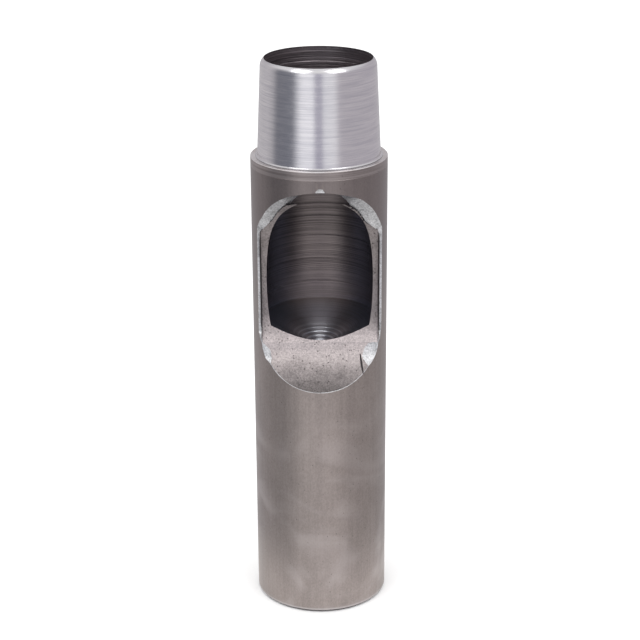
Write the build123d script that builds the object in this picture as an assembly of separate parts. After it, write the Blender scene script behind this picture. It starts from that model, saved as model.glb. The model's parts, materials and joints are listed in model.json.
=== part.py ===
from build123d import *

import os
from math import hypot, radians, sqrt, tan

# Hollow drive punch for leather, gaskets and webbing.
#
# A thin tapered cutting head sits on a spigot in the end of a round steel shank. The shank is
# bored from that end as far as a drill point. A side window milled into the bore lets the cut
# slugs fall out, and the solid lower end of the shank takes the mallet.
#
# Frame: Z is the punch's axis with the cutting edge up, the origin is the centre of the striking
# face, and the window faces -Y. All sizes are in millimetres.

# Cutting head
cut_diameter = 25.0  # hole that the punch makes
edge_wall = 0.95  # wall just behind the sharpened bevel
bevel_height = 2.2  # axial height of the rounded sharpening bevel
bevel_bulge = 0.28  # how far the bevel's arc stands out from its chord
head_length = 22.7  # from the shank's shoulder to the cutting edge
base_fillet = 0.5  # where the head runs out onto the shoulder
land_length = 3.5  # parallel length of the mouth before the relief starts
land_step = 0.18  # undercut behind the land
relief = 0.85  # the chamber's radius over the mouth's radius, so that slugs don't jam

# Shank
shank_length = 112.4
shank_wall = 2.65  # round the slug chamber
strike_chamfer = 0.6
shoulder_break = 0.15
point_angle = 118.0  # degrees, included angle of the drill point that ends the chamber

# Joint between the head and the shank
spigot_wall = 1.2
spigot_margin = 1.5  # shank left between the counterbore and the window
seat_width = 0.31  # rim of the head that rests on the shank's shoulder
fit_clearance = 0.02  # radial, round the spigot
end_clearance = 0.1  # below the spigot, so that the head seats on the shoulder alone

# Side window, milled with a wide round cutter whose axis runs along X
cutter_diameter = 63.0
window_top_gap = 5.1  # shank left between the shoulder and the window
window_bite = 8.75  # how far the cutter goes past the chamber's wall
window_margin = 1.9  # from the window's side wall to the shank's side
floor_drop = 10.8  # from the window's middle down to the end of the parallel chamber
window_bevel = 0.5  # hand-ground edge over the window's top and down its sides

# Sizes that follow
cut_radius = cut_diameter / 2
chamber_radius = cut_radius + relief
shank_radius = chamber_radius + shank_wall
spigot_radius = chamber_radius + spigot_wall
total_length = shank_length + head_length
foot_radius = spigot_radius + seat_width
counterbore_radius = spigot_radius + fit_clearance
counterbore_floor = shank_length - window_top_gap + spigot_margin
spigot_end = counterbore_floor + end_clearance
tip_radius = cut_radius + edge_wall

cutter_radius = cutter_diameter / 2
window_depth = shank_wall + window_bite
window_half_length = sqrt(cutter_radius**2 - (cutter_radius - window_depth) ** 2)
window_half_width = shank_radius - window_margin
window_height = shank_length - window_top_gap - window_half_length
chamber_end = window_height - floor_drop
chamber_tip = chamber_end - chamber_radius / tan(radians(point_angle / 2))


def turned(*edges):
    """A solid of revolution about Z from a closed outline of (radius, height) edges."""
    outline = Plane.XZ * make_face(Curve() + list(edges))
    return revolve(outline, Axis.Z)


def make_cutting_head():
    """The tapered cutter: a sharpened rim, a short land, a relieved bore and a spigot."""
    rim = (cut_radius, total_length)
    bevel_foot = (tip_radius, total_length - bevel_height)
    bevel_middle = (
        (cut_radius + tip_radius) / 2 + bevel_bulge,
        total_length - bevel_height / 2 + bevel_bulge / 2,
    )
    taper_foot = (foot_radius - base_fillet, shank_length + base_fillet)
    shoulder_foot = (foot_radius, shank_length)
    land_end = total_length - land_length
    return turned(
        ThreePointArc(rim, bevel_middle, bevel_foot),
        Line(bevel_foot, taper_foot),
        RadiusArc(taper_foot, shoulder_foot, base_fillet),
        Polyline(
            shoulder_foot,
            (spigot_radius, shank_length),
            (spigot_radius, spigot_end),
            (chamber_radius, spigot_end),
            (cut_radius + land_step, land_end),
            (cut_radius, land_end),
            rim,
        ),
    )


def make_window_cutter():
    """The space that the round cutter sweeps: a disc lying across the shank's front."""
    disc = Cylinder(cutter_radius, 2 * window_half_width, rotation=(0, 90, 0))
    middle = -shank_radius + window_depth - cutter_radius
    return Pos(0, middle, window_height) * disc


def outer_edges(shank, low, high):
    """The window's edges on the shank's outside whose middles lie between two heights."""

    def is_between(edge):
        middle = edge @ 0.5
        on_outside = abs(hypot(middle.X, middle.Y) - shank_radius) < 1e-3
        return on_outside and middle.Y < 0 and low < middle.Z < high

    return shank.edges().filter_by(is_between)


def grind_window(shank):
    """Bevels the window's outer edge over its top and down its sides, but not along its foot.

    The top and the sides are bevelled on one copy of the shank each, and what both copies
    still hold is kept, so the bevels meet in a mitre.
    """
    window_top = shank_length - window_top_gap
    halfway_up = (window_height + window_top) / 2
    over_top = chamfer(outer_edges(shank, halfway_up, shank_length - shoulder_break), window_bevel)
    down_sides = chamfer(outer_edges(shank, chamber_end, halfway_up), window_bevel)
    return over_top & down_sides


def make_shank():
    """The round bar with its blind chamber, counterbored end and side window."""
    bar = turned(
        Polyline(
            (0, 0),
            (shank_radius - strike_chamfer, 0),
            (shank_radius, strike_chamfer),
            (shank_radius, shank_length - shoulder_break),
            (shank_radius - shoulder_break, shank_length),
            (counterbore_radius, shank_length),
            (counterbore_radius, counterbore_floor),
            (chamber_radius, counterbore_floor),
            (chamber_radius, chamber_end),
            (0, chamber_tip),
            (0, 0),
        )
    )
    return grind_window(bar - make_window_cutter())


def main():
    """Writes one STEP file for each piece."""
    os.makedirs("parts", exist_ok=True)
    pieces = {"cutting_head": make_cutting_head(), "shank": make_shank()}
    for name, piece in pieces.items():
        export_step(piece, f"parts/{name}.step")


main()
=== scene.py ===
"""A hollow drive punch: a bright turned cutting head on a satin steel shank.

Laid out as an add-on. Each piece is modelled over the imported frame, in metres, with the
cutting edge up and the slug window towards -Y.
"""

import json
from math import atan2, cos, hypot, pi, radians, sin, sqrt

import bpy
from bpy.props import FloatProperty, FloatVectorProperty, PointerProperty
from mathutils import Euler, Matrix, Vector, noise


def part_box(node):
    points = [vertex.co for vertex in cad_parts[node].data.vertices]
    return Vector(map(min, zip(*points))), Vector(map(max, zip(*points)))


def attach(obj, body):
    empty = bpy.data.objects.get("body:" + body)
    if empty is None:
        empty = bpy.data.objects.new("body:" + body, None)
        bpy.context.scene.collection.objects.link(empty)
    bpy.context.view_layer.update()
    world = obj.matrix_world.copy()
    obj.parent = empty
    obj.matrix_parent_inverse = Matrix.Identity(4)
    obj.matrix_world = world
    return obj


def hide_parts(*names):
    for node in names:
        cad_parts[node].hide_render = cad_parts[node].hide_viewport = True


bl_info = {
    "name": "Hollow Drive Punch",
    "version": (1, 0, 0),
    "blender": (4, 5, 0),
    "location": "View3D > Sidebar > Punch",
    "description": "Models a hollow drive punch and its studio over a packed frame",
    "category": "Object",
}

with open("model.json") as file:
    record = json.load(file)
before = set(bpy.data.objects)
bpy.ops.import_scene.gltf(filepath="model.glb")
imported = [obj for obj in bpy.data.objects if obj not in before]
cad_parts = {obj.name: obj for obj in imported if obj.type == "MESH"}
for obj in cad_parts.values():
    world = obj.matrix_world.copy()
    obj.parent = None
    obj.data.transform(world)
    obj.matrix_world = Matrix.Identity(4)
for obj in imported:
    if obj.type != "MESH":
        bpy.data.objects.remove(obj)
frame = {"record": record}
MOUNTS = {mount["name"]: mount for mount in frame["record"]["mounts"]}
MM = 0.001
POLE = 1e-7  # radius of the ring that stands for a point on the axis
MERGE = 1e-6  # points nearer than this become one
AROUND = 256  # sides of a turned piece
CREASE = radians(25)  # faces that meet at less than this are shaded smooth
FILLET_STEPS = 8
BEVEL_STEPS = 16
RING_STEPS = 24
WINDOW_FACETS = 360  # sides of the window's round cutter
SIDE_START, SIDE_SPAN = 0.93, 0.07  # where the window's sides take over, in half widths
CROWN_START, CROWN_SPAN = 0.66, 0.26  # where the crown's grinding begins and how soon it is full
SHANK_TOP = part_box("shank")[1].z
SHANK_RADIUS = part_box("shank")[1].x
HEAD_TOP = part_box("cutting_head")[1].z
HEAD_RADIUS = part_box("cutting_head")[1].x
SPIGOT_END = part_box("cutting_head")[0].z
CUT_RADIUS = MOUNTS["cutting_mouth"]["dims"]["r_mm"] * MM
LAND_LENGTH = MOUNTS["cutting_mouth"]["dims"]["length_mm"] * MM


def length(title, about, default):
    """A size in metres that a user can change."""
    return FloatProperty(
        name=title, description=about, default=default, unit="LENGTH", subtype="DISTANCE", precision=5
    )


def turn(title, about, default):
    """An angle in radians that a user can change."""
    return FloatProperty(
        name=title, description=about, default=default, unit="ROTATION", subtype="ANGLE"
    )


def share(title, about, default):
    """A plain number that a user can change."""
    return FloatProperty(name=title, description=about, default=default, min=0.0)


def colour(title, about, default):
    """A linear colour that a user can change."""
    return FloatVectorProperty(
        name=title, description=about, default=default, subtype="COLOR", min=0.0, max=1.0
    )


class PunchHeadSettings(bpy.types.PropertyGroup):
    """Sizes and colours of the cutting head."""

    cut_radius: length("Cut radius", "Radius of the hole that the edge cuts", CUT_RADIUS)
    rim_flat: length("Rim flat", "Width of the honed rim", 0.05 * MM)
    edge_wall: length("Edge wall", "Wall just behind the sharpened bevel", 0.95 * MM)
    bevel_height: length("Bevel height", "Axial height of the sharpened bevel", 2.2 * MM)
    bevel_bulge: length("Bevel bulge", "How far the bevel stands out from its chord", 0.28 * MM)
    foot_radius: length("Foot radius", "Radius where the head meets the shoulder", HEAD_RADIUS)
    foot_fillet: length("Foot fillet", "Radius of the flare at the foot", 0.5 * MM)
    foot_groove: length("Foot groove", "Depth of the dark line under the flare", 0.06 * MM)
    land_length: length("Land length", "Parallel length of the mouth", LAND_LENGTH)
    land_step: length("Land step", "Undercut behind the land", 0.18 * MM)
    ridge: length("Ridge", "Height of the tool ridge that closes the undercut", 0.16 * MM)
    chamber_radius: length("Chamber radius", "Radius of the bore at the spigot", 13.35 * MM)
    spigot_radius: length("Spigot radius", "Radius of the hidden spigot", 14.55 * MM)
    bright: colour("Bright steel", "Crests of the turning marks", (0.70, 0.68, 0.69))
    grooves: colour("Turning grooves", "Valleys of the turning marks", (0.52, 0.51, 0.54))
    inside: colour("Inside", "Bored wall of the mouth", (0.47, 0.42, 0.44))


class PunchShankSettings(bpy.types.PropertyGroup):
    """Sizes and colours of the shank and its slug window."""

    radius: length("Radius", "Outside radius of the bar", SHANK_RADIUS)
    top: length("Length", "Height of the shoulder over the striking face", SHANK_TOP)
    strike_chamfer: length("Strike chamfer", "Chamfer of the striking face", 0.6 * MM)
    shoulder_break: length("Shoulder break", "Broken edge of the shoulder", 0.15 * MM)
    line_drop: length("Line drop", "From the shoulder down to the turned line", 2.05 * MM)
    line_width: length("Line width", "Width of the turned line", 0.2 * MM)
    line_depth: length("Line depth", "Depth of the turned line", 0.05 * MM)
    chamber_radius: length("Chamber radius", "Radius of the slug chamber", 13.35 * MM)
    counterbore_radius: length("Counterbore radius", "Radius of the spigot's seat", 14.57 * MM)
    counterbore_floor: length("Counterbore floor", "Height of the spigot's seat", 108.8 * MM)
    chamber_end: length("Chamber end", "Height where the parallel bore ends", 72.25 * MM)
    ring_pitch: length("Ring pitch", "Spacing of the drill's rings", 0.8 * MM)
    ring_depth: length("Ring depth", "Depth of the drill's rings", 0.07 * MM)
    point_angle: turn("Point angle", "Included angle of the drill point", radians(118))
    cutter_radius: length("Cutter radius", "Radius of the window's round cutter", 31.5 * MM)
    cutter_height: length("Cutter height", "Height of the cutter's axis", 83.05 * MM)
    window_depth: length("Window depth", "Bite into the shank's front", 11.4 * MM)
    window_half: length("Window half width", "Half of the window's width", 14.1 * MM)
    flank_slope: length("Flank slope", "How far the window's sides lean in", 0.45 * MM)
    flank_height: length("Flank height", "Depth over which the sides lean in", 3.2 * MM)
    satin: colour("Satin steel", "The shank's own colour", (0.385, 0.335, 0.315))
    smoke: colour("Smoke", "Darker heat tint", (0.125, 0.108, 0.112))
    sheen: colour("Sheen", "Pale smears on the shank", (0.46, 0.41, 0.40))
    ledge: colour("Ledge", "The shoulder that was turned with the head", (0.70, 0.68, 0.69))
    milled: colour("Milled steel", "The window's milled face", (0.68, 0.61, 0.60))
    # Painted shadow: the near-black colour of the window's side walls, the step inside the ground edge and
    # the gouge.
    painted_shadow: colour("Flank", "The window's side walls", (0.10, 0.09, 0.095))
    ground: colour("Ground steel", "The hand-ground edge", (0.74, 0.74, 0.75))
    bored: colour("Bored steel", "The slug chamber's wall", (0.235, 0.20, 0.195))
    # Painted highlight: the near-white colour of the rings round the drill point.
    point: colour("Drill point", "Bright rings round the drill point", (0.95, 0.97, 1.00))


class PunchStageSettings(bpy.types.PropertyGroup):
    """The camera, the floor and the lights."""

    camera_distance: length("Camera distance", "From the axis, along -Y", 382.9 * MM)
    camera_height: length("Camera height", "Height over the floor", 216.0 * MM)
    camera_pitch: turn("Camera pitch", "How far the camera looks down", radians(20.73))
    camera_roll: turn("Camera roll", "Turn about the line of sight", -0.006)
    lens: FloatProperty(
        name="Lens", description="Focal length in millimetres", default=95.6, unit="CAMERA"
    )
    floor_radius: length("Floor radius", "Radius of the round floor", 0.34)
    floor_glow: length("Floor glow", "How near the floor has to be for the steel to mirror it", 0.025)
    floor_colour: colour("Floor colour", "Pale studio floor", (0.95, 0.95, 0.95))
    room_light: share("Room light", "Strength of the tent that the steel reflects", 1.0)
    sweep_light: share("Sweep light", "Strength of the white that lights the floor", 1.25)
    key_power: share("Key power", "Power of each front softbox in watts", 2.0)


class Shade:
    """One socket of a node tree, so that shader maths reads as an ordinary expression."""

    def __init__(self, tree, socket):
        self.tree = tree
        self.socket = socket

    def maths(self, operation, first, second=0.0):
        return self.tree.add("ShaderNodeMath", {"operation": operation}, {0: first, 1: second})

    def __add__(self, other):
        return self.maths("ADD", self, other)

    __radd__ = __add__

    def __sub__(self, other):
        return self.maths("SUBTRACT", self, other)

    def __rsub__(self, other):
        return self.maths("SUBTRACT", other, self)

    def __mul__(self, other):
        return self.maths("MULTIPLY", self, other)

    __rmul__ = __mul__

    def __truediv__(self, other):
        return self.maths("DIVIDE", self, other)

    def root(self):
        return self.maths("SQRT", self)

    def wave(self):
        return self.maths("SINE", self) * 0.5 + 0.5

    def angle_to(self, other):
        return self.maths("ARCTAN2", self, other)

    def ramp(self, low, high):
        """0 below low, 1 above high, and smooth between them; low may be over high."""
        return self.tree.add(
            "ShaderNodeMapRange",
            {"interpolation_type": "SMOOTHSTEP"},
            {"Value": self, "From Min": low, "From Max": high},
        )


class Tree:
    """A node tree under construction, for a material or the room's light."""

    def __init__(self, tree):
        self.tree = tree
        self.tree.nodes.clear()

    def add(self, kind, settings=None, sockets=None, output=0):
        """Adds a node, sets it, feeds its sockets and returns one of its outputs."""
        node = self.tree.nodes.new(kind)
        for name, value in (settings or {}).items():
            setattr(node, name, value)
        for key, value in (sockets or {}).items():
            if isinstance(value, Shade):
                self.tree.links.new(value.socket, node.inputs[key])
            elif isinstance(value, tuple) and node.inputs[key].type == "RGBA":
                node.inputs[key].default_value = (*value, 1.0)
            else:
                node.inputs[key].default_value = value
        return Shade(self, node.outputs[output]) if node.outputs else node

    def mix(self, factor, low, high):
        """A colour between low and high."""
        return self.add(
            "ShaderNodeMix", {"data_type": "RGBA"}, {0: factor, 6: low, 7: high}, output=2
        )

    def place(self):
        """The piece's own coordinates in millimetres."""
        metres = self.add("ShaderNodeTexCoord", output="Object")
        return self.stretch(metres, 1 / MM, 1 / MM, 1 / MM)

    def stretch(self, vector, x, y, z):
        """The vector with each part multiplied."""
        return self.add(
            "ShaderNodeVectorMath", {"operation": "MULTIPLY"}, {0: vector, 1: (x, y, z)}
        )

    def parts(self, vector):
        """The vector's three numbers."""
        x = self.add("ShaderNodeSeparateXYZ", None, {0: vector})
        return tuple(Shade(self, output) for output in x.socket.node.outputs)

    def cloud(self, vector, scale, detail=3.0, rough=0.5, swirl=0.0):
        """Soft random values round a half."""
        return self.add(
            "ShaderNodeTexNoise",
            None,
            {"Vector": vector, "Scale": scale, "Detail": detail, "Roughness": rough, "Distortion": swirl},
        )

    def specks(self, vector, scale):
        """Distance to the nearest of many random points, in cells."""
        return self.add("ShaderNodeTexVoronoi", None, {"Vector": vector, "Scale": scale})

    def metal(self, base, rough, height, depth):
        """Finishes the tree as steel with its colour, roughness and relief."""
        bump = self.add(
            "ShaderNodeBump", None, {"Strength": 1.0, "Distance": depth, "Height": height}
        )
        steel = self.add(
            "ShaderNodeBsdfPrincipled",
            None,
            {"Base Color": base, "Roughness": rough, "Metallic": 1.0, "Normal": bump},
        )
        self.add("ShaderNodeOutputMaterial", None, {"Surface": steel})


def new_finish(name):
    """An empty material and its tree."""
    material = bpy.data.materials.new(name)
    material.use_nodes = True
    return material, Tree(material.node_tree)


def turned_finish(settings):
    """Bright steel with the fine rings that a lathe tool leaves."""
    material, tree = new_finish("turned_steel")
    place = tree.place()
    fine = tree.cloud(tree.stretch(place, 0.06, 0.06, 5.0), 1.0, 2.0, 0.6)
    broad = tree.cloud(tree.stretch(place, 0.11, 0.11, 1.6), 1.0, 3.0, 0.6)
    wipe = tree.cloud(tree.stretch(place, 0.5, 0.5, 0.9), 1.0, 3.0, 0.6)
    rings = fine.ramp(0.30, 0.70)
    base = tree.mix(rings * 0.5 + broad.ramp(0.3, 0.7) * 0.5, settings.grooves[:], settings.bright[:])
    rough = 0.17 + (1 - rings) * 0.05 + wipe.ramp(0.45, 0.75) * 0.06
    tree.metal(base, rough, fine * 0.6 + broad * 0.4, 0.008 * MM)
    return material


def mouth_finish(settings):
    """The darker bored wall inside the head."""
    material, tree = new_finish("bored_mouth")
    place = tree.place()
    rings = tree.cloud(tree.stretch(place, 0.03, 0.03, 2.6), 1.0, 3.0, 0.6)
    base = tree.mix(rings.ramp(0.35, 0.7), tuple(0.55 * c for c in settings.inside), settings.inside[:])
    tree.metal(base, 0.30 + rings * 0.12, rings, 0.09 * MM)
    return material


def ridge_wear_and_shade_finish(settings):
    """The narrow tool ridge in the mouth, with a painted highlight in front, painted shade towards the
    sides and patches of real wear.
    """
    material, tree = new_finish("ridge_wear_painted_shade")
    place = tree.place()
    x, _, _ = tree.parts(place)
    worn = tree.cloud(tree.stretch(place, 0.35, 0.35, 2.0), 1.0, 3.0, 0.6)
    # Painted shade: the ridge darkens away from the middle towards the sides, leaving a painted highlight
    # in front.
    sides = (x * x).root().ramp(1.0, 7.0)
    worn_and_shaded = tuple(0.25 * c for c in settings.inside)
    base = tree.mix(sides * 0.7 + worn.ramp(0.35, 0.65) * 0.3, settings.inside[:], worn_and_shaded)
    tree.metal(base, 0.38 + worn * 0.1, worn, 0.02 * MM)
    return material


def satin_finish(settings):
    """Heat-treated satin steel, streaked along the bar, smeared low down and pitted, with a paler band
    just above the striking chamfer and painted shade on the chamfer.
    """
    material, tree = new_finish("satin_steel")
    place = tree.place()
    _, _, z = tree.parts(place)
    streaks = tree.cloud(tree.stretch(place, 1.1, 1.1, 0.035), 1.0, 3.0, 0.6)
    grain = tree.cloud(tree.stretch(place, 2.6, 2.6, 1.8), 1.0, 4.0, 0.75)
    mottle = tree.cloud(tree.stretch(place, 0.14, 0.14, 0.09), 1.0, 4.0, 0.6, 0.6)
    smears = tree.cloud(tree.stretch(place, 0.055, 0.055, 0.07), 1.0, 2.0, 0.45, 1.4)
    pits = tree.specks(tree.stretch(place, 0.8, 0.8, 0.55), 1.0)
    hard = z.ramp(62.0, 96.0)
    low_down = z.ramp(58.0, 38.0)
    tint = mottle.ramp(0.30, 0.72) * 0.31 + streaks.ramp(0.32, 0.68) * 0.24 + grain.ramp(0.36, 0.64) * 0.45
    base = tree.mix(tint, tuple(0.70 * c for c in settings.satin), settings.satin[:])
    pale = smears.ramp(0.44, 0.68) * low_down
    base = tree.mix(pale * 0.50, base, settings.sheen[:])
    base = tree.mix(hard * 0.55, base, settings.smoke[:])
    rings = tree.cloud(tree.stretch(place, 0.05, 0.05, 4.0), 1.0, 3.0, 0.6)
    band = z.ramp(110.15, 110.30)
    base = tree.mix(band * rings.ramp(0.3, 0.7) * 0.55, base, settings.sheen[:])
    # A paler band just above the striking chamfer, then painted shade on the chamfer itself, which faces
    # down to the floor.
    base = tree.mix(z.ramp(1.25, 0.85) * 0.35, base, settings.ledge[:])
    base = tree.mix(z.ramp(0.70, 0.55) * 0.8, base, tuple(0.6 * c for c in settings.smoke))
    pit = pits.ramp(0.10, 0.04)
    base = tree.mix(pit * 0.6, base, tuple(0.3 * c for c in settings.smoke))
    rough = 0.36 + grain * 0.10 - pale * 0.05 - hard * 0.06
    tree.metal(base, rough, streaks * 0.3 + grain * 0.6 + rings * band - pit * 1.2, 0.02 * MM)
    return material


def ledge_finish(settings):
    """The narrow shoulder that was turned bright together with the head."""
    material, tree = new_finish("turned_ledge")
    place = tree.place()
    x, y, _ = tree.parts(place)
    radius = (x * x + y * y).root()
    rings = tree.cloud(tree.add("ShaderNodeCombineXYZ", None, {"X": radius * 4.0}), 1.0, 2.0)
    blotch = tree.cloud(tree.stretch(place, 0.3, 0.3, 0.3), 1.0, 3.0)
    base = tree.mix(blotch.ramp(0.35, 0.65) * 0.5 + rings * 0.3, settings.ledge[:], settings.sheen[:])
    tree.metal(base, 0.32 + blotch * 0.1, rings, 0.02 * MM)
    return material


def chamber_finish(settings):
    """Dark bored steel with fine tool rings, wider apart near the drill point, where they carry a painted
    highlight; painted shade and light by height, and a painted blue reflection towards the sides and the
    bottom.
    """
    material, tree = new_finish("bored_steel")
    place = tree.place()
    x, y, z = tree.parts(place)
    radius = (x * x + y * y).root()
    fine = tree.cloud(tree.stretch(place, 0.02, 0.02, 3.0), 1.0, 3.0, 0.65)
    few = tree.cloud(tree.stretch(place, 0.012, 0.012, 1.6), 1.0, 2.0, 0.5)
    scores = few.ramp(0.58, 0.68)
    base = tree.mix(
        fine.ramp(0.34, 0.66), tuple(0.50 * c for c in settings.bored), settings.bored[:]
    )
    base = tree.mix(scores * 0.6, base, tuple(0.35 * c for c in settings.bored))
    steps = (radius * (2 * pi / 1.05) + fine * 3.0).wave().ramp(0.45, 0.95)
    # Painted shade up the bore, a black painted shade line at its top edge, and painted light lower down
    # above the drill point.
    base = tree.mix(z.ramp(82.0, 92.0) * 0.36, base, tuple(0.22 * c for c in settings.bored))
    base = tree.mix(z.ramp(103.0, 106.5) * 0.9, base, tuple(0.15 * c for c in settings.bored))
    base = tree.mix(z.ramp(81.0, 75.0) * 0.45, base, tuple(1.45 * c for c in settings.bored))
    # Painted highlight: near-white rings round the drill point.
    point = radius.ramp(8.5, 2.5) * z.ramp(73.0, 71.0)
    base = tree.mix(point * (steps * 0.65 + 0.35), base, settings.point[:])
    # Painted reflection: the bore turns blue towards the sides and the bottom.
    sides = (x * x).root().ramp(5.0, 12.0) * 0.9 + z.ramp(74.0, 70.0) * 0.7
    painted_blue_reflection = settings.bored[0], settings.bored[1] * 1.3, settings.bored[2] * 1.7
    base = tree.mix((sides * (0.3 + fine * 0.6)).ramp(0.0, 1.0), base, painted_blue_reflection)
    relief = fine * 0.8 - scores * 0.8 + point * steps * 0.8
    tree.metal(base, 0.31 + fine * 0.10 - point * 0.06, relief, 0.07 * MM)
    return material


def milled_finish(settings):
    """The grainy, speckled face that the window's cutter leaves, with painted shade towards the bottom of
    the window and higher up.
    """
    material, tree = new_finish("milled_steel")
    place = tree.place()
    _, _, z = tree.parts(place)
    grain = tree.cloud(tree.stretch(place, 2.3, 2.3, 2.3), 1.0, 4.0, 0.85)
    patches = tree.cloud(tree.stretch(place, 0.25, 0.25, 0.25), 1.0, 3.0)
    holes = tree.specks(tree.stretch(place, 1.1, 1.1, 1.1), 1.0)
    chosen = tree.cloud(tree.stretch(place, 0.8, 0.8, 0.8), 1.0, 1.0).ramp(0.46, 0.56)
    pit = holes.ramp(0.25, 0.10) * chosen
    # Painted shade: the milled face darkens towards the bottom of the window and over its higher faces.
    darker = (z - patches).ramp(67.8, 58.0)
    painted_shade_high = z.ramp(69.0, 75.0) * 0.58
    base = tree.mix(grain.ramp(0.34, 0.66), tuple(0.58 * c for c in settings.milled), settings.milled[:])
    dark = tuple(0.16 * c for c in settings.milled), tuple(0.28 * c for c in settings.milled)
    shaded = tree.mix(grain.ramp(0.38, 0.62), *dark)
    base = tree.mix(patches.ramp(0.42, 0.66) * 0.12 + darker + painted_shade_high, base, shaded)
    base = tree.mix(pit * 0.75, base, tuple(0.15 * c for c in settings.milled))
    tree.metal(base, 0.44 + grain * 0.12, grain * 0.7 - pit, 0.07 * MM)
    return material


def painted_shadow_finish(settings):
    """Painted shadow: near-black steel on the window's side walls, the thin step inside the ground edge
    and the gouge.
    """
    material, tree = new_finish("painted_wall_shadow")
    place = tree.place()
    scale = tree.cloud(tree.stretch(place, 1.5, 1.5, 1.5), 1.0, 3.0, 0.6)
    base = tree.mix(scale, tuple(0.3 * c for c in settings.painted_shadow), settings.painted_shadow[:])
    tree.metal(base, 0.5 + scale * 0.1, scale, 0.03 * MM)
    return material


def ground_finish(settings):
    """Bright steel scratched by a grinding stone."""
    material, tree = new_finish("ground_steel")
    place = tree.place()
    scratches = tree.cloud(tree.stretch(place, 5.0, 5.0, 1.2), 1.0, 4.0, 0.7, 0.5)
    worn = tree.cloud(tree.stretch(place, 0.5, 0.5, 0.5), 1.0, 3.0, 0.6)
    marks = tree.cloud(tree.stretch(place, 2.4, 2.4, 2.4), 1.0, 4.0, 0.8)
    shine = marks.ramp(0.36, 0.62) * 0.65 + worn.ramp(0.3, 0.6) * 0.35
    base = tree.mix(shine, tuple(0.42 * c for c in settings.ground), settings.ground[:])
    tree.metal(base, 0.36 + scratches * 0.15, scratches * 0.4 + marks, 0.09 * MM)
    return material


def start_piece():
    """Leaves edit mode, if it is on, and deselects everything."""
    if bpy.context.object and bpy.context.object.mode != "OBJECT":
        bpy.ops.object.mode_set(mode="OBJECT")
    bpy.ops.object.select_all(action="DESELECT")


def lathe(name, outline, around):
    """Extrudes a ring through a closed outline of (radius, height) points, as on a lathe."""
    start_piece()
    radius, height = max(outline[0][0], POLE), outline[0][1]
    bpy.ops.mesh.primitive_circle_add(vertices=around, radius=radius, location=(0, 0, height))
    piece = bpy.context.object
    piece.name = name
    bpy.ops.object.transform_apply(location=True, rotation=False, scale=False)
    bpy.ops.object.mode_set(mode="EDIT")
    bpy.ops.mesh.select_all(action="SELECT")
    for next_radius, next_height in outline[1:]:
        bpy.ops.mesh.extrude_region_move(
            TRANSFORM_OT_translate={"value": (0, 0, next_height - height)}
        )
        grow = max(next_radius, POLE) / radius
        bpy.ops.transform.resize(value=(grow, grow, 1), center_override=(0, 0, next_height))
        radius, height = max(next_radius, POLE), next_height
    bpy.ops.mesh.select_all(action="SELECT")
    bpy.ops.mesh.remove_doubles(threshold=MERGE)
    bpy.ops.mesh.normals_make_consistent(inside=False)
    bpy.ops.object.mode_set(mode="OBJECT")
    return piece


def arc(centre, radius, start, end, steps):
    """Points of an arc in the outline's plane, between two angles in degrees."""
    angles = [radians(start + (end - start) * step / steps) for step in range(steps + 1)]
    return [(centre[0] + radius * cos(a), centre[1] + radius * sin(a)) for a in angles]


def bowed(start, end, bulge, steps):
    """Points from start to end that stand out by bulge in the middle."""
    run, rise = end[0] - start[0], end[1] - start[1]
    chord = hypot(run, rise)
    points = []
    for step in range(steps + 1):
        part = step / steps
        out = 4 * bulge * part * (1 - part)
        radius = start[0] + run * part + out * rise / chord
        height = start[1] + rise * part - out * run / chord
        points.append((radius, height))
    return points


def joined(pieces):
    """One object out of several; each face keeps its material."""
    start_piece()
    for piece in pieces:
        piece.select_set(True)
    bpy.context.view_layer.objects.active = pieces[0]
    bpy.ops.object.join()
    return pieces[0]


def take_away(piece, cutter):
    """Cuts the cutter out of the piece; the new faces keep the cutter's material."""
    start_piece()
    bpy.context.view_layer.objects.active = piece
    piece.select_set(True)
    cut = piece.modifiers.new("cut", "BOOLEAN")
    cut.operation = "DIFFERENCE"
    cut.solver = "EXACT"
    cut.use_self = True
    cut.material_mode = "TRANSFER"
    cut.object = cutter
    before = len(piece.data.polygons)
    bpy.ops.object.modifier_apply(modifier="cut")
    bpy.data.objects.remove(cutter)
    if len(piece.data.polygons) < before / 2:
        raise RuntimeError("the cut left too little of " + piece.name)


def paint(piece, material, chosen):
    """Gives the chosen faces a material."""
    index = piece.data.materials.find(material.name)
    if index < 0:
        piece.data.materials.append(material)
        index = len(piece.data.materials) - 1
    for face in piece.data.polygons:
        if chosen(face):
            face.material_index = index


def finish_piece(piece, node, angle):
    """Smooths the piece, hangs it on the frame and hides the node that it stands for."""
    start_piece()
    bpy.context.view_layer.objects.active = piece
    piece.select_set(True)
    bpy.ops.object.shade_smooth_by_angle(angle=angle)
    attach(piece, "root")
    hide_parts(node)


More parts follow.
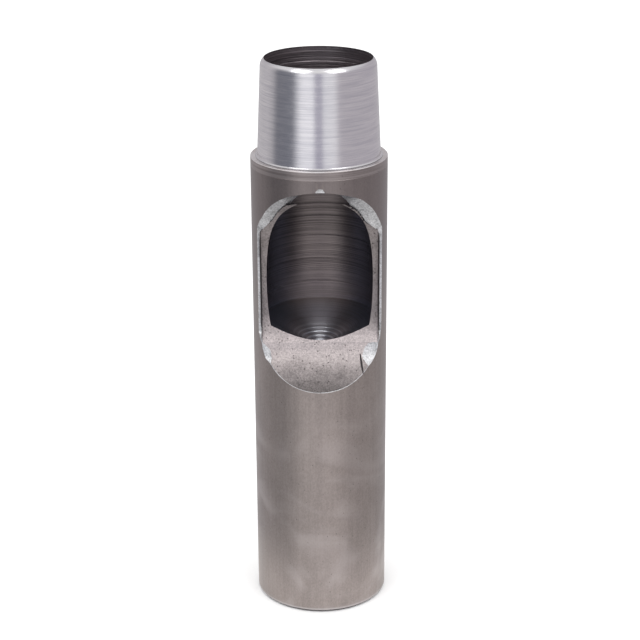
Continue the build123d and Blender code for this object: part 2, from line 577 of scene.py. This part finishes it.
class PUNCH_OT_stage(bpy.types.Operator):
    """Adds the camera, the floor and the studio's light"""

    bl_idname = "punch.stage"
    bl_label = "Stage"

    def execute(self, context):
        settings = context.scene.punch_stage
        self.add_camera(context, settings)
        self.add_floor(settings)
        self.light_room(context, settings)
        self.add_softboxes(settings)
        return {"FINISHED"}

    def add_camera(self, context, settings):
        """A long lens in front of the punch, looking slightly down."""
        start_piece()
        bpy.ops.object.camera_add(location=(0, -settings.camera_distance, settings.camera_height))
        camera = context.object
        camera.name = "camera"
        camera.data.lens = settings.lens
        camera.data.clip_start = 0.01
        look = Euler((pi / 2 - settings.camera_pitch, 0, 0)).to_matrix()
        camera.rotation_euler = (look @ Matrix.Rotation(settings.camera_roll, 3, "Z")).to_euler()
        context.scene.camera = camera
        context.scene.view_settings.view_transform = "Standard"

    def add_floor(self, settings):
        """A pale round floor that the steel mirrors only close to its foot."""
        start_piece()
        bpy.ops.mesh.primitive_circle_add(
            vertices=128, radius=settings.floor_radius, fill_type="NGON", location=(0, 0, 0)
        )
        floor = bpy.context.object
        floor.name = "floor"
        material, tree = new_finish("studio_floor")
        place = tree.add("ShaderNodeTexCoord", output="Object")
        x, y, _ = tree.parts(place)
        grain = tree.cloud(place, 40.0)
        base = tree.mix(grain * 0.1, settings.floor_colour[:], (0.90, 0.90, 0.90))
        paper = tree.add("ShaderNodeBsdfPrincipled", None, {"Base Color": base, "Roughness": 0.8})
        clear = tree.add("ShaderNodeBsdfTransparent")
        gloss = tree.add("ShaderNodeLightPath", output="Is Glossy Ray")
        far = (x * x + y * y).root().ramp(settings.floor_glow, 2 * settings.floor_glow)
        sheet = tree.add("ShaderNodeMixShader", None, {0: gloss * far, 1: paper, 2: clear})
        tree.add("ShaderNodeOutputMaterial", None, {"Surface": sheet})
        floor.data.materials.append(material)

    def light_room(self, context, settings):
        """Pale walls with a darker side, as a steel bar sees them from a light tent."""
        world = bpy.data.worlds.new("light_tent")
        world.use_nodes = True
        context.scene.world = world
        tree = Tree(world.node_tree)
        x, y, z = tree.parts(tree.add("ShaderNodeTexCoord", output="Generated"))
        bearing = x.angle_to(0 - y) * (180 / pi)
        upright = self.banded(tree, bearing, (
            (-180, (0.60, 0.58, 0.60)),
            (-112, (0.68, 0.66, 0.68)),
            (-98, (0.56, 0.55, 0.57)),
            (-86, (0.24, 0.245, 0.28)),
            (-50, (0.24, 0.25, 0.29)),
            (-34, (1.18, 1.19, 1.23)),
            (-11, (1.20, 1.21, 1.25)),
            (-6, (0.54, 0.53, 0.62)),
            (5, (0.54, 0.53, 0.62)),
            (10, (1.02, 1.03, 1.07)),
            (30, (1.04, 1.04, 1.07)),
            (40, (0.62, 0.59, 0.63)),
            (120, (0.61, 0.58, 0.62)),
            (180, (0.60, 0.58, 0.60)),
        ))
        low = self.banded(tree, bearing, (
            (-180, (0.72, 0.72, 0.74)),
            (-120, (0.74, 0.74, 0.77)),
            (-95, (0.62, 0.62, 0.63)),
            (-62, (0.62, 0.62, 0.63)),
            (-30, (0.98, 0.98, 0.98)),
            (22, (1.12, 1.10, 1.10)),
            (50, (0.74, 0.73, 0.73)),
            (105, (0.66, 0.66, 0.66)),
            (140, (0.72, 0.72, 0.74)),
            (180, (0.72, 0.72, 0.74)),
        ))
        tent = tree.mix(z.ramp(-0.285, -0.34), upright, low)
        ceiling = z.ramp(0.35, 0.75)
        tent = tree.mix(ceiling, tent, (1.0, 1.0, 1.0))
        walls = tree.add(
            "ShaderNodeBackground", None, {"Color": tent, "Strength": settings.room_light}
        )
        white = tree.add(
            "ShaderNodeBackground", None, {"Color": (1.0, 1.0, 1.0), "Strength": settings.sweep_light}
        )
        # The steel mirrors the tent, while the lens and matt surfaces see plain white.
        camera = tree.add("ShaderNodeLightPath", output="Is Camera Ray")
        diffuse = tree.add("ShaderNodeLightPath", output="Is Diffuse Ray")
        both = tree.add("ShaderNodeMixShader", None, {0: camera + diffuse, 1: walls, 2: white})
        tree.add("ShaderNodeOutputWorld", None, {"Surface": both})

    def banded(self, tree, bearing, stops):
        """Colours all round the room, from stops of (degrees from the front, colour)."""
        bands = tree.add("ShaderNodeValToRGB", None, {"Fac": (bearing + 180) / 360})
        ramp = bands.socket.node.color_ramp
        ramp.elements.remove(ramp.elements[-1])
        ramp.elements[0].position = 0.0
        ramp.elements[0].color = (*stops[0][1], 1.0)
        for degrees, value in stops[1:]:
            ramp.elements.new((degrees + 180) / 360).color = (*value, 1.0)
        return bands

    def add_softboxes(self, settings):
        """Two square lamps in front, one on each side, aimed at the punch."""
        for side in (-1, 1):
            bpy.ops.object.light_add(type="AREA", location=(side * 0.5, -0.5, 0.9))
            lamp = bpy.context.object
            lamp.name = "softbox_left" if side < 0 else "softbox_right"
            lamp.data.shape = "RECTANGLE"
            lamp.data.size = 0.5
            lamp.data.size_y = 0.5
            lamp.data.energy = settings.key_power
            aim = Vector((0, 0, 0.07)) - Vector(lamp.location)
            lamp.rotation_euler = aim.to_track_quat("-Z", "Y").to_euler()


class PUNCH_OT_cutting_head(bpy.types.Operator):
    """Turns the cutting head: flared foot, tapered side, sharpened rim, land and spigot"""

    bl_idname = "punch.cutting_head"
    bl_label = "Cutting head"

    def execute(self, context):
        s = context.scene.punch_head
        foot = s.foot_radius
        seat = SHANK_TOP
        groove = s.foot_groove
        flare = arc((foot, seat + groove + s.foot_fillet), s.foot_fillet, 270, 180, FILLET_STEPS)
        rim = (s.cut_radius + s.rim_flat, HEAD_TOP)
        tip = (s.cut_radius + s.edge_wall, HEAD_TOP - s.bevel_height)
        land_end = HEAD_TOP - s.land_length
        outline = [(s.spigot_radius, seat), (s.spigot_radius + groove / 2, seat + groove)]
        outline += flare
        outline += bowed(tip, rim, s.bevel_bulge, BEVEL_STEPS)
        outline += [
            (s.cut_radius, HEAD_TOP - s.rim_flat / 2),
            (s.cut_radius, land_end + s.ridge),
            (s.cut_radius + s.land_step, land_end + s.ridge / 2),
            (s.cut_radius + s.land_step, land_end),
            (s.cut_radius + s.land_step / 4, land_end - s.ridge),
            (s.chamber_radius, SPIGOT_END),
            (s.spigot_radius, SPIGOT_END),
            (s.spigot_radius, seat),
        ]
        head = lathe("cutting_head_turned", outline, AROUND)
        head.data.materials.append(turned_finish(s))
        mouth = mouth_finish(s)

        def is_inside(face):
            centre, normal = face.center, face.normal
            return centre.x * normal.x + centre.y * normal.y < 0

        def is_step(face):
            return is_inside(face) and face.normal.z > 0.3

        paint(head, mouth, is_inside)
        paint(head, ridge_wear_and_shade_finish(s), is_step)
        finish_piece(head, "cutting_head", CREASE)
        return {"FINISHED"}


class PUNCH_OT_shank(bpy.types.Operator):
    """Turns, bores and mills the shank, then grinds the window's edge by hand"""

    bl_idname = "punch.shank"
    bl_label = "Shank"

    def execute(self, context):
        s = context.scene.punch_shank
        shank = self.turn_bar(s)
        finishes = [satin_finish(s), ledge_finish(s), chamber_finish(s)]
        finishes += [milled_finish(s), painted_shadow_finish(s), ground_finish(s)]
        for material in finishes:
            shank.data.materials.append(material)
        satin, ledge, bored, milled, painted_shadow, ground = finishes

        def is_inside(face):
            centre, normal = face.center, face.normal
            faces_axis = centre.x * normal.x + centre.y * normal.y < 0
            return faces_axis and centre.z > 50 * MM

        def is_ledge(face):
            return face.normal.z > 0.5 and face.center.z > s.top - s.shoulder_break

        paint(shank, bored, is_inside)
        paint(shank, ledge, is_ledge)
        cutters = [self.window_cutter(s, milled, painted_shadow), self.grinding_cutter(s, ground, painted_shadow)]
        cutters += self.slips(s, ground, painted_shadow, milled)
        take_away(shank, joined(cutters))
        finish_piece(shank, "shank", CREASE)
        return {"FINISHED"}

    def turn_bar(self, s):
        """The bar with its chamfers, turned line, spigot seat, ringed bore and drill point."""
        line_low = s.top - s.line_drop - s.line_width / 2
        line_high = line_low + s.line_width
        cone_height = s.chamber_radius / sin(s.point_angle / 2) * cos(s.point_angle / 2)
        outline = [
            (0, 0),
            (s.radius - s.strike_chamfer, 0),
            (s.radius, s.strike_chamfer),
            (s.radius, line_low),
            (s.radius - s.line_depth, (line_low + line_high) / 2),
            (s.radius, line_high),
            (s.radius, s.top - s.shoulder_break),
            (s.radius - s.shoulder_break, s.top),
            (s.counterbore_radius, s.top),
            (s.counterbore_radius, s.counterbore_floor),
            (s.chamber_radius, s.counterbore_floor),
        ]
        bore = (s.chamber_radius, s.counterbore_floor - s.ring_pitch), (s.chamber_radius, s.chamber_end)
        cone = (s.chamber_radius, s.chamber_end), (0, s.chamber_end - cone_height)
        outline += self.ringed(*bore, RING_STEPS, s.ring_depth / 4, s.ring_pitch)
        outline += self.ringed(*cone, RING_STEPS, s.ring_depth, 0)
        outline.append(cone[1])
        return lathe("shank_turned", outline, AROUND)

    def ringed(self, start, end, steps, depth, uneven):
        """Points from start towards end that step in and out, as a drill leaves its rings."""
        points = [start]
        for step in range(1, steps):
            part = step / steps
            drift = noise.noise(Vector((step * 0.73, start[1] * 900, 0)))
            out = depth * (step % 2) * (0.6 + 0.8 * abs(drift))
            radius = start[0] + (end[0] - start[0]) * part + out
            points.append((radius, start[1] + (end[1] - start[1]) * part + drift * uneven * 0.3))
        return points

    def window_cutter(self, s, milled, painted_shadow):
        """The round cutter that mills the window, narrower at its rim so that the sides lean in."""
        start_piece()
        middle = -s.radius + s.window_depth - s.cutter_radius
        bpy.ops.mesh.primitive_cylinder_add(
            vertices=WINDOW_FACETS,
            radius=s.cutter_radius,
            depth=2 * (s.window_half - s.flank_slope),
            location=(0, middle, s.cutter_height),
            rotation=(0, pi / 2, 0),
        )
        cutter = bpy.context.object
        bpy.ops.object.transform_apply(location=True, rotation=True, scale=False)
        bpy.ops.object.mode_set(mode="EDIT")
        bpy.ops.mesh.select_mode(type="FACE")
        shrink = 1 - s.flank_height / s.cutter_radius
        for side in (-1, 1):
            self.select_flank(cutter, side)
            bpy.ops.mesh.extrude_region_move(
                TRANSFORM_OT_translate={"value": (side * s.flank_slope, 0, 0)}
            )
            pivot = (side * s.window_half, middle, s.cutter_height)
            bpy.ops.transform.resize(value=(1, shrink, shrink), center_override=pivot)
        bpy.ops.object.mode_set(mode="OBJECT")
        cutter.data.materials.append(milled)
        # The cutter's flat ends leave the window's side walls, painted as shadow.
        paint(cutter, painted_shadow, lambda face: abs(face.normal.x) > 0.9)
        return cutter

    def select_flank(self, cutter, side):
        """Selects the flat end of the round cutter on one side."""
        bpy.ops.mesh.select_all(action="DESELECT")
        bpy.ops.object.mode_set(mode="OBJECT")
        for face in cutter.data.polygons:
            face.select = face.normal.x * side > 0.99
        bpy.ops.object.mode_set(mode="EDIT")

    def rim_point(self, s, x, up):
        """A point of the window's curved edge above or below its axis, and the way to that axis."""
        middle = -s.radius + s.window_depth - s.cutter_radius
        y = -sqrt(s.radius**2 - x**2)
        z = s.cutter_height + up * sqrt(s.cutter_radius**2 - (y - middle) ** 2)
        return Vector((x, y, z)), Vector((0, middle - y, s.cutter_height - z)).normalized()

    def edge_stations(self, s):
        """Points round the window's edge, from the bottom up the left and down the right."""
        half = s.window_half
        foot_steps = 60
        side_steps = 40
        top_steps = 90
        gap = 0.1  # keeps the run's two ends apart at the middle of the foot
        foot = [
            self.rim_point(s, half * sin(pi / 2 * (step + gap) / (foot_steps + gap)), -1)
            for step in range(foot_steps + 1)
        ]
        top = [
            self.rim_point(s, half * sin(pi * (step / top_steps - 0.5)), 1)
            for step in range(top_steps + 1)
        ]
        low, high = foot[-1][0], top[-1][0]
        side = [(low.lerp(high, step / side_steps), Vector((-1, 0, 0))) for step in range(1, side_steps)]
        right = foot + side
        left = [(Vector((-p.x, p.y, p.z)), Vector((-wall.x, wall.y, wall.z))) for p, wall in right]
        return left + top + right[::-1]

    def grinding_cutter(self, s, ground, painted_shadow):
        """A three-sided bar swept along the window's edge, wider where the stone lingered."""
        stations = self.edge_stations(s)
        inward = [wall for _, wall in stations]
        for _ in range(6):
            inward = [
                (inward[max(i - 1, 0)] + inward[i] * 2 + inward[min(i + 1, len(inward) - 1)]).normalized()
                for i in range(len(inward))
            ]
        start_piece()
        bpy.ops.mesh.primitive_circle_add(vertices=3, radius=MM, fill_type="NGON")
        cutter = bpy.context.object
        bpy.ops.object.mode_set(mode="EDIT")
        bpy.ops.mesh.select_all(action="SELECT")
        for _ in stations[1:]:
            bpy.ops.mesh.extrude_region_move(TRANSFORM_OT_translate={"value": (0, 0, MM)})
        bpy.ops.object.mode_set(mode="OBJECT")
        corners = sorted(range(len(cutter.data.vertices)), key=lambda i: cutter.data.vertices[i].co.z)
        rows = [corners[3 * i : 3 * i + 3] for i in range(len(stations))]
        for row, (edge, _), wall in zip(rows, stations, inward):
            row.sort(key=lambda i: atan2(cutter.data.vertices[i].co.y, cutter.data.vertices[i].co.x))
            for index, point in zip(row, self.stone_section(s, edge, wall)):
                cutter.data.vertices[index].co = point
        outer = {row[0] for row in rows}
        bpy.ops.object.mode_set(mode="EDIT")
        bpy.ops.mesh.select_all(action="SELECT")
        bpy.ops.mesh.normals_make_consistent(inside=False)
        bpy.ops.object.mode_set(mode="OBJECT")
        cutter.data.materials.append(ground)
        # The bar's inner faces leave a thin step inside the ground edge, painted as shadow.
        paint(cutter, painted_shadow, lambda face: not outer.intersection(face.vertices))
        return cutter

    def stone_section(self, s, edge, wall):
        """The stone's three corners at one point of the window's edge.

        Down the sides it faces the sharp edge off square to the window. Over the top it lies
        flatter and runs right through the wall, and it bites widest at the upper corners. Along
        the foot it only breaks the edge. The reaches are in millimetres.
        """
        outside = Vector((edge.x, edge.y, 0)).normalized()
        over = (outside * outside.dot(wall) - wall).normalized()
        under = (wall * wall.dot(outside) - outside).normalized()
        wobble = noise.noise(edge * 260) * 0.6 + noise.noise(edge * 600) * 0.25
        ragged = noise.noise(edge * 1900)
        across = abs(edge.x) / s.window_half
        side = max(0.0, min(1.0, (across - SIDE_START) / SIDE_SPAN))
        crown = max(0.0, min(1.0, (CROWN_START - across) / CROWN_SPAN))
        heavy = edge.x > 0
        corner = (1 - side) * (1 - crown)
        over_reach = 0.95 * side + 0.25 * (1 - side) + (0.14 + 0.1 * side) * wobble
        over_reach += (0.40 if heavy else 0.15) * corner
        heaviness = 2.3 if heavy else 1.6
        under_reach = 0.85 * side + 4.2 * crown + heaviness * corner * (1.4 + 0.9 * wobble + 0.35 * ragged)
        lift = 0.56 * crown + 0.12 * corner
        dive = 0.10 + 0.22 * corner + 0.6 * crown
        if outside.cross(wall).length > 0.1 and edge.z < s.cutter_height and abs(wall.x) < 0.9:
            over_reach = 0.06 + 0.4 * side**3 + 0.06 * wobble
            under_reach = 0.07 + 0.3 * side**3 + 0.06 * wobble
            lift = 0.0
            dive = 0.02
            crown = 0.0
        inner = (under - wall * lift).normalized()
        first = edge + over * over_reach * MM
        second = edge + inner * under_reach * MM
        slope = (second - first).normalized()
        clear = edge + ((outside + wall) * 2.5 * (1 - crown) + (under * 5 + wall * 2) * crown) * MM
        return first - slope * 1.5 * MM, second + slope * dive * MM, clear

    def slips(self, s, ground, painted_shadow, milled):
        """Marks by the window: a dent above, a face at each lower corner, a nick and a gouge."""
        top, _ = self.rim_point(s, 0.2 * MM, 1)
        corner_height = self.rim_point(s, s.window_half, -1)[0].z
        right = Vector((11.6 * MM, -9.1 * MM, corner_height - 2.4 * MM))
        left = Vector((-12.3 * MM, -9.05 * MM, corner_height - 2.4 * MM))
        gouge = Vector((9.73 * MM, -10.9 * MM, corner_height - 5.5 * MM))
        nick = Vector((13.4 * MM, -8.75 * MM, s.top - 1.0 * MM))
        return (
            self.stone(top, Vector((0, -1, 0.1)), 3.0 * MM, 0.22 * MM, 0.10, ground),
            self.stone(right, Vector((0.22, -0.93, 0.30)), 8.0 * MM, 0.55 * MM, 0.05, ground),
            self.stone(left, Vector((-0.36, -0.90, 0.27)), 8.0 * MM, 0.36 * MM, 0.01, ground),
            self.stone(nick, Vector((0.84, -0.55, 0.0)), 0.9 * MM, 0.05 * MM, 0.30, milled),
            # The gouge is painted as shadow.
            self.scratch(gouge, Vector((0.13, -0.6, -0.79)), 2.7 * MM, 0.22 * MM, painted_shadow),
        )

    def stone(self, place, facing, radius, bite, rough, ground):
        """A worn ball that bites into the steel at a place, from the side that it faces."""
        start_piece()
        bpy.ops.mesh.primitive_ico_sphere_add(subdivisions=3, radius=radius, location=(0, 0, 0))
        ball = bpy.context.object
        for corner in ball.data.vertices:
            corner.co *= 1 + rough * noise.noise(corner.co * 900 + place * 700)
        bpy.ops.object.mode_set(mode="EDIT")
        bpy.ops.mesh.select_all(action="SELECT")
        bpy.ops.transform.translate(value=place + facing.normalized() * (radius - bite))
        bpy.ops.object.mode_set(mode="OBJECT")
        ball.data.materials.append(ground)
        return ball

    def scratch(self, place, along, reach, width, finish):
        """A spindle that leaves a thin furrow through a place, along a direction."""
        start_piece()
        bpy.ops.mesh.primitive_ico_sphere_add(subdivisions=3, radius=width, location=(0, 0, 0))
        spindle = bpy.context.object
        along = along.normalized()
        for corner in spindle.data.vertices:
            corner.co += along * along.dot(corner.co) * (reach / width - 1)
            corner.co += Vector((0.15 * MM, 0, 0)) * noise.noise(corner.co * 500)
        bpy.ops.object.mode_set(mode="EDIT")
        bpy.ops.mesh.select_all(action="SELECT")
        bpy.ops.transform.translate(value=place)
        bpy.ops.object.mode_set(mode="OBJECT")
        spindle.data.materials.append(finish)
        return spindle


class PUNCH_PT_sidebar(bpy.types.Panel):
    """Lists the punch's pieces and its stage"""

    bl_idname = "PUNCH_PT_sidebar"
    bl_label = "Hollow drive punch"
    bl_space_type = "VIEW_3D"
    bl_region_type = "UI"
    bl_category = "Punch"

    def draw(self, context):
        for operator in (PUNCH_OT_stage, PUNCH_OT_cutting_head, PUNCH_OT_shank):
            self.layout.operator(operator.bl_idname)
        for group in (context.scene.punch_head, context.scene.punch_shank, context.scene.punch_stage):
            box = self.layout.box()
            for name in group.__annotations__:
                box.prop(group, name)


CLASSES = (
    PunchHeadSettings,
    PunchShankSettings,
    PunchStageSettings,
    PUNCH_OT_stage,
    PUNCH_OT_cutting_head,
    PUNCH_OT_shank,
    PUNCH_PT_sidebar,
)


def register():
    for item in CLASSES:
        bpy.utils.register_class(item)
    bpy.types.Scene.punch_head = PointerProperty(type=PunchHeadSettings)
    bpy.types.Scene.punch_shank = PointerProperty(type=PunchShankSettings)
    bpy.types.Scene.punch_stage = PointerProperty(type=PunchStageSettings)


def unregister():
    del bpy.types.Scene.punch_stage
    del bpy.types.Scene.punch_shank
    del bpy.types.Scene.punch_head
    for item in reversed(CLASSES):
        bpy.utils.unregister_class(item)


def main():
    """Builds the stage and every piece."""
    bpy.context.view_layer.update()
    register()
    bpy.ops.punch.stage()
    bpy.ops.punch.cutting_head()
    bpy.ops.punch.shank()


if __name__ == "__main__":
    main()
